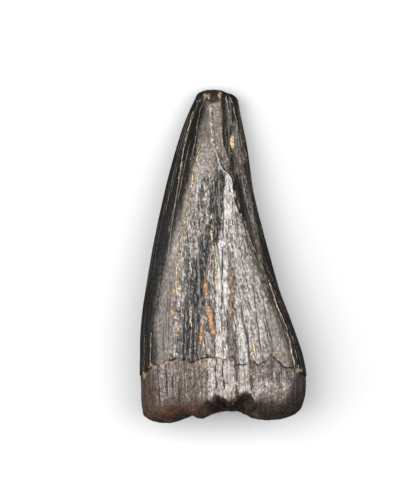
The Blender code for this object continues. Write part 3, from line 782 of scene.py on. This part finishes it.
def hairlines(kind, angle, height, spacing, sway=HAIRLINE_SWAY):
    """How much of a fine crack along the growth lines lies on each point, from 0 to 1.

    A line is never thinner than the columns can carry, and is fainter where that widens it."""
    seed, count, shortest, longest, thinnest, widest = kind
    kink, kink_length = HAIRLINE_KINK
    usual, change, change_length = HAIRLINE_WIDTH_CHANGE
    chance = random.Random(seed)
    half_width = half_width_at(height)
    most = np.zeros(height.shape)
    for number in range(count):
        at = 2 * math.pi * (number + chance.random()) / count
        low = chance.uniform(*HAIRLINES_START)
        high = low + chance.uniform(shortest, longest)
        width = chance.uniform(thinnest, widest)
        strength = chance.uniform(*HAIRLINE_STRENGTH)
        drift = chance.uniform(-HAIRLINE_DRIFT, HAIRLINE_DRIFT) * (height - low) / LENGTH
        stray = sway * wander(height, seed + number, HAIRLINE_BEND)
        stray = stray + kink * wander(height, seed + number, kink_length)
        apart = turned(angle, at + drift) * half_width + stray
        width = width * (usual + change * wander(height, seed + number + 0.5, change_length))
        width = np.maximum(width, LEAST_WIDTH)
        shown_width = np.maximum(width, COLUMN_SHARE * spacing)
        reach = within(height, low, high, HAIRLINE_FADE)
        most = np.maximum(most, strength * reach * width / shown_width * bump(apart, shown_width))
    return most


def crack_cover(x, height, lean, width, points, wider=1.0):
    """How much of one crack lies on these points. Lean is 1 on level ground and less on steep sides."""
    points = sorted(points)
    low, high = points[0][0], points[-1][0]
    seed = low + 3 * points[0][1]
    middle = broken_line(points, height)
    for strays, length in CRACK_BENDS:
        middle = middle + strays * wander(height, seed, length)
    reach = ramp(height - low, *CRACK_STARTS) * ramp(high - height, *CRACK_STARTS)
    share = CRACK_WIDTH_SHARE
    for change, other_seed, length in CRACK_WIDTH_CHANGES:
        share = share + change * wander(height, seed + other_seed, length)
    gap_seed, gap_length, open_from, open_to = CRACK_GAPS
    whole = 1.0
    if width < GAPS_BELOW:
        whole = ramp(wander(height, seed + gap_seed, gap_length), open_from, open_to)
    return bump((x - middle) / lean, width * share * wider) * reach * whole


def front_marks(x, height, lean, in_front):
    """The fillings of cracks and patches on the front: their colour, how much shows, depth and dark rims."""
    colour = np.zeros((*x.shape, 3))
    cover, depth, shadow = np.zeros((3, *x.shape))
    for filling, width, groove, points in CRACKS:
        mark = crack_cover(x, height, lean, width, points) * in_front
        colour += (np.array(filling) - colour) * mark[..., None]
        cover = np.maximum(cover, mark)
        depth = np.maximum(depth, groove * mark)
        rim = crack_cover(x, height, lean, width, points, CRACK_SHADOW) * in_front
        shadow = np.maximum(shadow, rim)
    for filling, at_height, at_x, half_height, half_width in PATCHES:
        apart = np.hypot((height - at_height) / half_height, (x - at_x) / half_width)
        apart = apart + PATCH_RAGGEDNESS * rough(x, height, 0.0, PATCH_LUMPS)
        mark = (1 - ramp(apart, *PATCH_EDGE)) * in_front
        colour += (np.array(filling) - colour) * mark[..., None]
        cover = np.maximum(cover, mark)
    lip, lip_colour, lip_shadow = lip_marks(x, height, in_front)
    shadow = np.maximum(shadow, lip_shadow)
    colour += (lip_colour - colour) * lip[..., None]
    cover = np.maximum(cover, lip)
    return colour, cover, depth, shadow


def lip_marks(x, height, in_front):
    """The pale lip beside the facet, a painted highlight: how much shows, its colour, and the painted shadow
    line at its right.
    """
    dulled = ramp(height, *LIP_DULLS)
    across = past_carina(x, height)
    reach = in_front * ramp(height, *LIP_SHADE_HEIGHTS) * (1 - ramp(height, *LIP_ENDS))
    change, seed, length = LIP_WIDTH_CHANGE
    width = LIP_WIDTH * (LIP_NARROWED + (1 - LIP_NARROWED) * dulled)
    width = width * (1 + change * wander(height, seed, length))
    size, whole, broken = LIP_BREAKS
    breaks = dulled * ramp(rough(x, height, 0.0, size), whole, broken)
    lip = LIP_COVER * bump(across + LIP_WIDTH / 2, width) * reach * (1 - breaks)
    # Painted highlight: white on the lip, turning to a duller cream higher up.
    colour = np.array(LIP_HIGHLIGHT) + (np.array(LIP_ABOVE) - np.array(LIP_HIGHLIGHT)) * dulled[..., None]
    offset, shadow_width, strength = LIP_SHADOW
    return lip, colour, strength * bump(across - offset, shadow_width) * reach


def band_share(x, height, softness, rows):
    """How much of one band lies on these points, from 0 to 1."""
    heights, lefts, rights = np.array(rows).T
    left, right = (np.interp(height, heights, side) for side in (lefts, rights))
    starts = ramp(height, heights[0] - BAND_START, heights[0])
    stops = 1 - ramp(height, heights[-1] - BAND_STOP, heights[-1] + BAND_STOP)
    return within(x, left, right, softness) * starts * stops


def past_carina(x, height):
    """How far each point is to the right of the front carina, in millimetres."""
    middle = (outline(2, height) + outline(1, height)) / 2
    return x - middle - half_width_at(height) * smooth_curve(FRONT_CARINA, height)


def shade_of_enamel(x, height, in_front):
    """How pale the enamel is at each point: 0 is black, 0.5 is grey and 1 is silvery. The grey and the
    silver are partly painted sheen and highlight, and the sides that don't face up are painted shade.
    """
    strays = BAND_WANDER * rough(x, height / BAND_WANDER_LONGER, 0.0, BAND_WANDER_SIZE)
    shade = np.full(x.shape, FACE_SHADE)
    for band_shade, softness, rows in BANDS:
        shade += (band_shade - shade) * band_share(x + strays, height, softness, rows)
    across = past_carina(x, height)
    beside_shade, start, end = BESIDE_CARINA
    beside = ramp(across, -start, -end) * (1 - ramp(height, *BESIDE_CARINA_STOPS))
    shade += (beside_shade - shade) * beside
    # Painted shade on the right flank past the carina.
    shade += (SHADED_SIDES_TONE - shade) * ramp(across, *CARINA_EDGE)
    shade += (SHEEN_SHADE - shade) * band_share(x + strays / 2, height, SHEEN_SOFTNESS, SHEEN_BAND)
    # Painted shade on every side that doesn't face up.
    return shade * in_front + SHADED_SIDES_TONE * (1 - in_front)


def shade_of_root(x, height):
    """How pale the root is at each point, partly painted light: highlights on its bulges, and shade at its
    sides and where it rounds under.
    """
    angle = column_angles(ROOT_SECTION)
    above = (height - rim_height(angle)) / rim_radius(angle)
    shade = np.full(x.shape, ROOT_SHADE)
    for band_shade, softness, rows in ROOT_BANDS:
        shade += (band_shade - shade) * band_share(x, height, softness, rows)
    # Painted shade where the root rounds under.
    return shade * ramp(above, *ROOT_SHADED_UNDER)


def calm_share(x, height, in_front):
    """1 where the enamel is smooth and shows few streaks."""
    shares = [calm * band_share(x, height, softness, rows) for calm, softness, rows in CALM_BANDS]
    return np.max(shares, axis=0) * in_front


def build_tooth():
    """The whole fine mesh of the tooth, with what the material needs to know stored on its points."""
    kinds, rings = [], []
    for name, group in (
        ("tip", tip_rings()),
        ("crown", crown_rings()),
        ("step", step_rings()),
        ("root", root_rings()),
        ("rim", rim_rings()),
        ("hollow", hollow_rings()),
    ):
        for ring in group:
            kinds.append(name)
            rings.append(np.stack(np.broadcast_arrays(*ring), -1))
    points = np.array(rings)
    grid = np.ones(points.shape[:2])
    angle = all_angles(points)
    around = growth_place(angle)
    kind = np.array(kinds)[:, None]
    x, height, z = np.moveaxis(points, -1, 0)
    outward = outward_directions(points)

    on_crown = (kind == "crown") * grid
    on_root = ((kind == "root") | (kind == "step")) * grid
    broken = ((kind == "tip") | (kind == "rim") | (kind == "hollow")) * grid
    inner = dark_break(kinds, broken, x, height, z)
    in_front = ramp(outward[..., 2], *FRONT_EDGE)
    lean = np.clip(outward[..., 2], STEEPEST, 1)
    colour, cover, depth, shadow = front_marks(x, height, lean, in_front)
    dark_lines, pale_lines = all_hairlines(points, angle, 1 - broken, in_front)
    moved = on_crown * grain_relief(WRINKLES, around, height) - HAIRLINE_DEPTH * dark_lines
    moved = moved + on_root * grain_relief(ROOT_GRAIN, around, height)
    moved = moved + broken * grain_relief(BROKEN_GRAIN, (x, z), height)
    points = points + outward * (moved - depth)[..., None]
    points[..., 2] = np.maximum(points[..., 2], 0)

    shade = np.where(kind == "crown", shade_of_enamel(x, height, in_front), shade_of_root(x, height))
    facet = facet_share(x, height, in_front * on_crown)
    shade += (broken_line(FACET_SHADES, height) - shade) * facet
    mesh = closed_mesh("fossil_tooth", points)
    for name, values in (
        ("grain", np.stack((around[0], around[1], height), -1)),
        ("dark_lines", dark_lines),
        ("pale_lines", pale_lines),
        ("rusty", 1 - ramp(x, *RUSTY)),
        ("calm", calm_share(x, height, in_front) * on_crown),
        ("filling", colour),
        ("filled", cover),
        ("shadow", shadow),
        ("shade", np.where(kind == "tip", TIP_SHADE, shade * (1 - inner))),
        ("crackled", band_share(x, height, CRACKLED_SOFTNESS, DARK_COLUMN) * in_front * on_crown),
        ("root", np.where(kind == "tip", inner, np.maximum(on_root, broken))),
        ("broken", inner),
        ("facet", facet),
        # The enamel's edge and the painted shadow under it.
        ("edge", edge_and_shadow_share(kind, height)),
    ):
        store(mesh, name, values)
    return mesh


def dark_break(kinds, broken, x, height, z):
    """How much of the dark inner break shows: all of it in the hollow, some of it on the rim and the tip."""
    inner = broken.copy()
    rim_at = kinds.index("rim")
    way = np.linspace(0, 1, RIM_RINGS + 1)[1:]
    inner[rim_at : rim_at + RIM_RINGS] = ramp(way, *RIM_DARKENS)[:, None]
    strayed = x + TIP_BREAK_STRAYS * rough(x, height, z, TIP_BREAK_LUMPS)
    in_break = within(strayed, *TIP_BREAK, TIP_BREAK_SOFTNESS)
    return np.where(np.array(kinds)[:, None] == "tip", inner * in_break, inner)


def all_hairlines(points, angle, whole, in_front):
    """The dark and the pale hairlines on the whole surface, leaving out the breaks."""
    x, height, z = np.moveaxis(points, -1, 0)
    spacing = column_spacing(points)
    on_front = in_front * ramp(height, *HAIRLINES_END)
    dark = whole * hairlines(DARK_HAIRLINES, angle, height, spacing) * (1 - on_front)
    pale = whole * hairlines(PALE_HAIRLINES, angle, height, spacing)
    place = ramp(past_carina(x, height), *WAVY_BESIDE) * ramp(height, *WAVY_ABOVE)
    place = place * ramp(z, *WAVY_OFF_GROUND)
    wavy = place * hairlines(WAVY_HAIRLINES, angle, height, spacing, WAVY_SWAY)
    return dark, np.maximum(pale, wavy)


def outward_directions(points):
    """The direction out of the surface at each point of the grid of rings."""
    down = np.gradient(points, axis=0)
    beside = np.roll(points, -1, axis=1) - np.roll(points, 1, axis=1)
    out = np.cross(beside, down)
    return out / np.maximum(np.linalg.norm(out, axis=-1, keepdims=True), 1e-9)


def column_spacing(points):
    """How far each point is from the next column, in millimetres."""
    return np.linalg.norm(np.roll(points, -1, axis=1) - points, axis=-1)


def facet_share(x, height, where):
    """1 on the worn facet, where dentine shows."""
    across = past_carina(x, height)
    width = broken_line(FACET_WIDTHS, height)
    right_edge = ramp(across, width - FACET_SOFTNESS, width + FACET_SOFTNESS)
    inside = ramp(across, *FACET_LEFT_EDGE) * (1 - right_edge)
    return inside * (height < FACET_ENDS) * where


def all_angles(points):
    """The angle of each point of the grid, as seen from the middle of its section."""
    height = points[..., 1]
    left, right, back, front = (outline(column, height) for column in (1, 2, 3, 4))
    across = (points[..., 0] - (left + right) / 2) / ((right - left) / 2)
    deep = (points[..., 2] - (back + front) / 2) / ((front - back) / 2)
    power = SQUARENESS / 2
    return np.arctan2(np.sign(deep) * np.abs(deep) ** power, np.sign(across) * np.abs(across) ** power)


def edge_and_shadow_share(kind, height):
    """1 on the torn lower edge of the enamel, fading out over the root under it, where its painted shadow
    falls.
    """
    below = enamel_edge(column_angles(ENAMEL_SECTION))[None, :] - height
    under_it = np.where(kind == "root", 1 - ramp(below, *EDGE_SHADOW_FADES), 0.0)
    return np.where(kind == "step", 1.0, under_it)


def closed_mesh(name, points):
    """A closed mesh over a grid of rings, with a point at the middle of the first and of the last."""
    rows, columns, _ = points.shape
    poles = [points[0].mean(0), points[-1].mean(0)]
    corners = np.concatenate([points.reshape(-1, 3), poles]) * MM
    corners[:, 1] -= LENGTH / 2 * MM
    faces = []
    first_pole, last_pole = rows * columns, rows * columns + 1
    for column in range(columns):
        beside = (column + 1) % columns
        for above in range(0, (rows - 1) * columns, columns):
            below = above + columns
            faces.append((above + beside, above + column, below + column, below + beside))
        faces.append((first_pole, column, beside))
        faces.append((last_pole, below + beside, below + column))
    mesh = bpy.data.meshes.new(name)
    mesh.from_pydata(corners.tolist(), [], faces)
    mesh.shade_smooth()
    return mesh


def store(mesh, name, values):
    """Stores a value or a triple of values for each point, with the poles taking their neighbours' mean."""
    triple = values.ndim == 3
    grid = values.reshape(-1, 3) if triple else values.reshape(-1, 1)
    poles = [values[0].mean(0), values[-1].mean(0)]
    grid = np.concatenate([grid, np.reshape(poles, (2, -1))])
    attribute = mesh.attributes.new(name, "FLOAT_VECTOR" if triple else "FLOAT", "POINT")
    attribute.data.foreach_set("vector" if triple else "value", grid.astype(np.float32).ravel())


class Graph:
    """A material's nodes, added one call at a time. Inputs are numbers, colours or other nodes' outputs."""

    def __init__(self, name):
        self.material = bpy.data.materials.new(name)
        self.material.use_nodes = True
        self.tree = self.material.node_tree
        self.shader = self.tree.nodes["Principled BSDF"]

    def plug(self, socket, value):
        if isinstance(value, bpy.types.NodeSocket):
            self.tree.links.new(value, socket)
        elif isinstance(value, tuple) and len(socket.default_value) == 4:
            socket.default_value = (*value, 1)
        else:
            socket.default_value = value

    def node(self, kind, settings, inputs):
        """A new node with these settings, and with these values or outputs plugged into its inputs."""
        node = self.tree.nodes.new("ShaderNode" + kind)
        for name, value in settings.items():
            setattr(node, name, value)
        for socket, value in inputs.items():
            self.plug(node.inputs[socket], value)
        return node

    def stored(self, name, output="Fac"):
        """What the mesh stores under this name."""
        return self.node("Attribute", {"attribute_name": name}, {}).outputs[output]

    def place(self):
        """The point's place on the tooth in millimetres."""
        return self.scaled(self.node("TexCoord", {}, {}).outputs["Object"], (1 / MM, 1 / MM, 1 / MM))

    def scaled(self, vector, scale):
        return self.node("VectorMath", {"operation": "MULTIPLY"}, {0: vector, 1: scale}).outputs["Vector"]

    def added(self, vector, other):
        return self.node("VectorMath", {"operation": "ADD"}, {0: vector, 1: other}).outputs["Vector"]

    def math(self, operation, first, second=0.0):
        return self.node("Math", {"operation": operation}, {0: first, 1: second}).outputs[0]

    def times(self, first, second):
        return self.math("MULTIPLY", first, second)

    def plus(self, first, second):
        return self.math("ADD", first, second)

    def most(self, first, second):
        return self.math("MAXIMUM", first, second)

    def remap(self, value, low, high, to_low=0.0, to_high=1.0):
        ends = {"From Min": low, "From Max": high, "To Min": to_low, "To Max": to_high}
        return self.node("MapRange", {}, {"Value": value, **ends}).outputs["Result"]

    def swing(self, noise_value, most):
        """From -most to most as a noise goes through its usual values."""
        return self.remap(noise_value, *USUAL_NOISE, -most, most)

    def noise(self, vector, size, stretch, detail, roughness, output="Fac"):
        """Noise from 0 to 1 with lumps of this size, drawn out in the directions where stretch is small."""
        inputs = {"Vector": self.scaled(vector, stretch), "Scale": 1 / size}
        inputs.update({"Detail": detail, "Roughness": roughness})
        return self.node("TexNoise", {}, inputs).outputs[output]

    def line(self, noise_value, width, at=0.5):
        """1 on thin wandering lines where a noise crosses this value."""
        away = self.math("ABSOLUTE", self.math("SUBTRACT", noise_value, at))
        return self.remap(away, 0.0, width, 1.0, 0.0)

    def mix(self, share, first, second):
        """A colour between two others."""
        return self.node("Mix", {"data_type": "RGBA"}, {0: share, 6: first, 7: second}).outputs[2]

    def layered(self, colour, *layers):
        """A colour with others laid over it, each given as how much of it shows and its colour."""
        for share, over in layers:
            colour = self.mix(share, colour, over)
        return colour

    def mix_numbers(self, share, first, second):
        return self.node("Mix", {}, {0: share, 2: first, 3: second}).outputs[0]

    def bumped(self, height, distance, normal=None):
        inputs = {"Height": height, "Distance": distance}
        if normal is not None:
            inputs["Normal"] = normal
        return self.node("Bump", {}, inputs).outputs["Normal"]


class Fossil(Graph):
    """Dark, half-glossy fossil enamel with pale streaks, a duller brown root, and mineral in the cracks,
    with painted sheen, highlights and shade in their colours.

    The numbers in a remap say where a pattern or shade starts and stops to count, and the shares there."""

    def __init__(self):
        super().__init__("fossil_enamel_and_root")
        self.shade = self.stored("shade")
        self.root = self.stored("root")
        self.broken = self.stored("broken")
        self.facet = self.stored("facet")
        self.calm = self.stored("calm")
        self.crackled = self.stored("crackled")
        self.shadow = self.stored("shadow")
        self.dark_lines = self.stored("dark_lines")
        self.pale_lines = self.stored("pale_lines")
        self.grain = self.stored("grain", "Vector")
        place = self.place()
        warp = self.added(self.noise(self.grain, *WARPS, output="Color"), (-0.5, -0.5, -0.5))
        warped = self.added(self.grain, self.scaled(warp, WARP_REACH))
        self.streaks = self.noise(warped, *STREAKS)
        self.fine_streaks = self.noise(warped, *FINE_STREAKS)
        self.vein_noise = self.noise(warped, *VEINS)
        self.net_noise = self.noise(warped, *NET)
        self.speckle = self.noise(place, *SPECKLE)
        self.specks = self.noise(place, *SPECKS)
        self.mottle = self.noise(place, *MOTTLE)
        self.blotches = self.noise(place, *BLOTCHES)
        self.veins = self.line(self.vein_noise, VEIN_WIDTH)
        self.net = self.line(self.net_noise, NET_WIDTH)

    def calmed(self, value, least):
        """A value that falls to this share of itself where the enamel is smooth."""
        return self.times(value, self.mix_numbers(self.calm, 1.0, least))

    def paleness(self):
        """The shade with its streaks and grain: 0 is black, 0.5 is grey and 1 is silvery."""
        streaky = self.plus(self.swing(self.fine_streaks, 0.3), self.swing(self.streaks, 0.2))
        grainy = self.plus(self.swing(self.speckle, 0.5), self.swing(self.mottle, 0.12))
        shift = self.plus(self.calmed(streaky, 0.25), self.calmed(grainy, 0.6))
        shift = self.times(shift, self.remap(self.shade, 0.0, 0.6, 0.12, 1.1))
        shift = self.times(shift, self.remap(self.shade, 0.7, 1.0, 1.0, 0.55))
        return self.plus(self.shade, shift)

    def creases(self, roughened):
        """How much of the dark veins, cracks and rims shows on the enamel."""
        creased = self.times(self.most(self.veins, self.times(self.net, NET_SHARE)), roughened)
        creased = self.times(creased, self.remap(self.crackled, 0.2, 0.6, 1.0, 0.0))
        creased = self.most(creased, self.remap(self.dark_lines, *LINE_EDGE, 0.0, 0.92))
        return self.most(creased, self.remap(self.shadow, *SHADOW_EDGE, 0.0, RIM_COVER))

    def web(self):
        """How much of the pale web shows on the crackled dark column."""
        fine_net = self.times(self.line(self.net_noise, 0.018), 0.6)
        webbed = self.most(self.line(self.vein_noise, 0.02), fine_net)
        webbed = self.times(webbed, self.remap(self.speckle, 0.46, 0.58))
        webbed = self.most(webbed, self.times(self.remap(self.fine_streaks, 0.57, 0.63), 0.4))
        return self.times(webbed, self.crackled)

    def enamel(self, roughened, creased):
        """Black, grey and silver by paleness, the grey and silver partly painted sheen and highlight, with
        painted glints beside the veins, pale lines and dark creases.
        """
        paleness = self.paleness()
        # Painted highlights: glints beside the veins, on the paler enamel.
        painted_glints = self.times(self.line(self.vein_noise, NET_WIDTH, 0.6), self.remap(self.shade, 0.3, 0.6))
        painted_glints = self.times(painted_glints, roughened)
        on_dark = self.remap(self.shade, 0.2, 0.4, 0.8, 0.0)
        return self.layered(
            ENAMEL_BLACK,
            (self.math("POWER", self.remap(paleness, 0.0, 0.5), ENAMEL_CURVE), ENAMEL_GREY_SHEEN),
            (self.remap(paleness, 0.5, 1.0), ENAMEL_SILVER_HIGHLIGHT),
            (self.times(painted_glints, PAINTED_GLINT_COVER), PAINTED_GLINT),
            (self.times(self.pale_lines, on_dark), ENAMEL_LINE),
            (creased, BLACK),
            (self.web(), WEB),
        )

    def dentine(self):
        """Mottled brown dentine, painted dark as shade where the root rounds under, and paler on the worn
        facet.
        """
        shift = self.plus(self.swing(self.mottle, 0.2), self.swing(self.specks, 0.36))
        shift = self.plus(shift, self.swing(self.fine_streaks, 0.25))
        paleness = self.plus(self.shade, self.times(shift, self.remap(self.shade, 0.0, 0.4, 0.3, 1.0)))
        rusty = self.stored("rusty")
        # Painted shade where the root rounds under, rustier on the left.
        shaded_underside = self.mix(rusty, SHADED_UNDERSIDE, RUSTY_SHADED_UNDERSIDE)
        shaded_underside_specks = self.mix(rusty, SHADED_UNDERSIDE_SPECKS, RUSTY_SPECKS)
        crazed = self.times(self.most(self.veins, self.net), self.remap(self.blotches, 0.4, 0.55, 0.1, 0.75))
        worn = self.layered(
            WORN_DARK,
            (self.remap(paleness, 0.1, 0.95), WORN_PALE),
            (self.remap(self.specks, 0.58, 0.63), WORN_SPECKS),
        )
        return self.layered(
            shaded_underside,
            (self.remap(self.specks, 0.5, 0.62), shaded_underside_specks),
            (self.remap(paleness, 0.0, 0.5), DENTINE),
            (self.remap(paleness, 0.5, 1.0), DENTINE_PALE_HIGHLIGHT),
            (crazed, CRAZING),
            (self.remap(self.dark_lines, *LINE_EDGE, 0.0, RIM_COVER), DENTINE_CRACK),
            (self.times(self.pale_lines, self.remap(self.shade, 0.05, 0.3, 0.3, 0.8)), DENTINE_LINE),
            (self.facet, worn),
            (self.remap(self.shadow, *SHADOW_EDGE, 0.0, RIM_COVER), DENTINE_CRACK),
        )

    def fracture(self):
        """The dark break inside the rim and at the tip."""
        return self.layered(
            BREAK_DARK,
            (self.remap(self.blotches, 0.35, 0.7), BREAK_BROWN),
            (self.remap(self.mottle, 0.5, 0.75), BREAK_PALE),
            (self.times(self.remap(self.specks, 0.55, 0.7), 0.6), BREAK_SPECKS),
            (self.times(self.line(self.blotches, 0.02), 0.8), BREAK_CRACKS),
        )

    def torn_edge_and_shadow(self):
        """The torn lower edge of the enamel: painted shadow under its ledge, dark, with pale stretches."""
        fringe = self.noise(self.grain, *FRINGE)
        return self.mix(self.remap(fringe, 0.56, 0.6), LEDGE_SHADOW, TORN_PALE)

    def mineral(self):
        """The fillings of the cracks, with specks."""
        mineral = self.stored("filling", "Vector")
        mineral = self.scaled(mineral, self.remap(self.specks, 0.38, 0.62, 0.25, 1.5))
        return self.scaled(mineral, self.remap(self.mottle, 0.38, 0.62, 0.55, 1.3))

    def complete(self):
        """Layers the colours, roughness and fine relief, and returns the material."""
        roughened = self.calmed(self.remap(self.blotches, 0.38, 0.56, 0.35, 1.0), 0.12)
        creased = self.creases(roughened)
        filled = self.remap(self.plus(self.stored("filled"), self.swing(self.specks, 0.4)), 0.35, 0.6)
        colour = self.layered(
            self.enamel(roughened, creased),
            (self.most(self.root, self.facet), self.dentine()),
            (self.broken, self.fracture()),
            # The torn edge, with the painted shadow under its ledge.
            (self.stored("edge"), self.torn_edge_and_shadow()),
            (filled, self.mineral()),
        )
        self.plug(self.shader.inputs["Base Color"], colour)

        dull = self.most(self.most(self.root, self.broken), self.most(self.facet, filled))
        roughness = self.remap(self.shade, 0.0, 0.5, *ENAMEL_ROUGHNESS)
        roughness = self.mix_numbers(self.crackled, roughness, COLUMN_ROUGHNESS)
        roughness = self.mix_numbers(dull, roughness, DULL_ROUGHNESS)
        roughness = self.plus(roughness, self.swing(self.speckle, ROUGHNESS_SWING))
        self.plug(self.shader.inputs["Roughness"], roughness)
        self.shader.inputs["Specular IOR Level"].default_value = 0.5

        normal = self.bumped(self.fine_streaks, self.mix_numbers(self.crackled, *STREAK_RELIEF))
        normal = self.bumped(creased, -CREASE_DEPTH, normal)
        pits = self.remap(self.shade, 0.1, 0.5, *ENAMEL_PITS)
        pits = self.most(pits, self.times(dull, DULL_PITS))
        pits = self.most(pits, self.times(self.crackled, COLUMN_PITS))
        self.plug(self.shader.inputs["Normal"], self.bumped(self.speckle, pits, normal))
        return self.material


# Studio: a pale floor, softboxes at the left and right, and a wide fill overhead that leaves no reflection.
FLOOR_SIZE = 4.0
FLOOR_GAP = 0.0001
FLOOR_COLOUR = (0.76, 0.76, 0.76)
FLOOR_ROUGHNESS = 0.9
SOFTBOX_LENGTH = 0.9
SOFTBOXES = (  # name, place, width, radiance, and whether it is mirrored in the tooth
    ("left_softbox", (-0.41, 0.05, 0.46), 0.46, 2.4, True),
    ("right_softbox", (0.43, 0.05, 0.43), 0.36, 1.7, True),
    ("overhead_fill", (0, 0, 1), 1.4, 2.6, False),
)
SURROUND = 0.06

# Camera: straight above, at the photograph's framing.
LENS = 400.0
SENSOR = 36.0
FRAME_HEIGHT = 93.3 * MM  # what the frame's height takes in at the tooth's widest level
WIDEST_LEVEL = 9.5 * MM
LOOKS_AT = (-2.8 * MM, 0.95 * MM)


def stage_floor():
    mesh = bpy.data.meshes.new("floor")
    half = FLOOR_SIZE / 2
    corners = [(x * half, y * half, -FLOOR_GAP) for x, y in ((-1, -1), (1, -1), (1, 1), (-1, 1))]
    mesh.from_pydata(corners, [], [(0, 1, 2, 3)])
    floor = bpy.data.objects.new("floor", mesh)
    bpy.context.scene.collection.objects.link(floor)
    graph = Graph("pale_floor")
    graph.plug(graph.shader.inputs["Base Color"], FLOOR_COLOUR)
    graph.shader.inputs["Roughness"].default_value = FLOOR_ROUGHNESS
    graph.shader.inputs["Specular IOR Level"].default_value = 0.0
    mesh.materials.append(graph.material)
    floor.visible_glossy = False
    floor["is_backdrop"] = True


def softbox(name, place, width, radiance, mirrored):
    """An area light that faces the tooth, with its length along it."""
    light = bpy.data.lights.new(name, "AREA")
    light.shape = "RECTANGLE"
    light.size = width
    light.size_y = SOFTBOX_LENGTH
    light.energy = math.pi * width * SOFTBOX_LENGTH * radiance
    box = bpy.data.objects.new(name, light)
    box.location = place
    box.rotation_euler = (-Vector(place)).to_track_quat("-Z", "Y").to_euler()
    box.visible_camera = False
    box.visible_glossy = mirrored
    bpy.context.scene.collection.objects.link(box)


def surroundings():
    """A dim room."""
    world = bpy.data.worlds.new("studio")
    world.use_nodes = True
    bpy.context.scene.world = world
    background = world.node_tree.nodes["Background"]
    background.inputs["Color"].default_value = (SURROUND, SURROUND, SURROUND, 1)


def photo_camera():
    camera = bpy.data.cameras.new("camera")
    camera.lens = LENS
    camera.sensor_width = SENSOR
    distance = FRAME_HEIGHT / SENSOR * LENS
    stand = bpy.data.objects.new("camera", camera)
    stand.location = (*LOOKS_AT, WIDEST_LEVEL + distance)
    bpy.context.scene.collection.objects.link(stand)
    bpy.context.scene.camera = stand


def dress_tooth():
    mesh = build_tooth()
    mesh.materials.append(Fossil().complete())
    tooth = bpy.data.objects.new("fossil_tooth", mesh)
    bpy.context.scene.collection.objects.link(tooth)
    low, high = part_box("tooth")
    corners = np.array([vertex.co for vertex in mesh.vertices])
    middle = (corners.min(0) + corners.max(0)) / 2
    offset = (low + high) / 2 - Vector(middle)
    for vertex in mesh.vertices:
        vertex.co.x += offset.x
        vertex.co.y += offset.y
    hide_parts("tooth")
    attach(tooth, "root")


dress_tooth()
stage_floor()
for row in SOFTBOXES:
    softbox(*row)
surroundings()
photo_camera()
bpy.context.scene.view_settings.view_transform = "Standard"
boxes = {"cad": cad_box, "visual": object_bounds()}
{name: [list(corner) for corner in box] for name, box in boxes.items()}
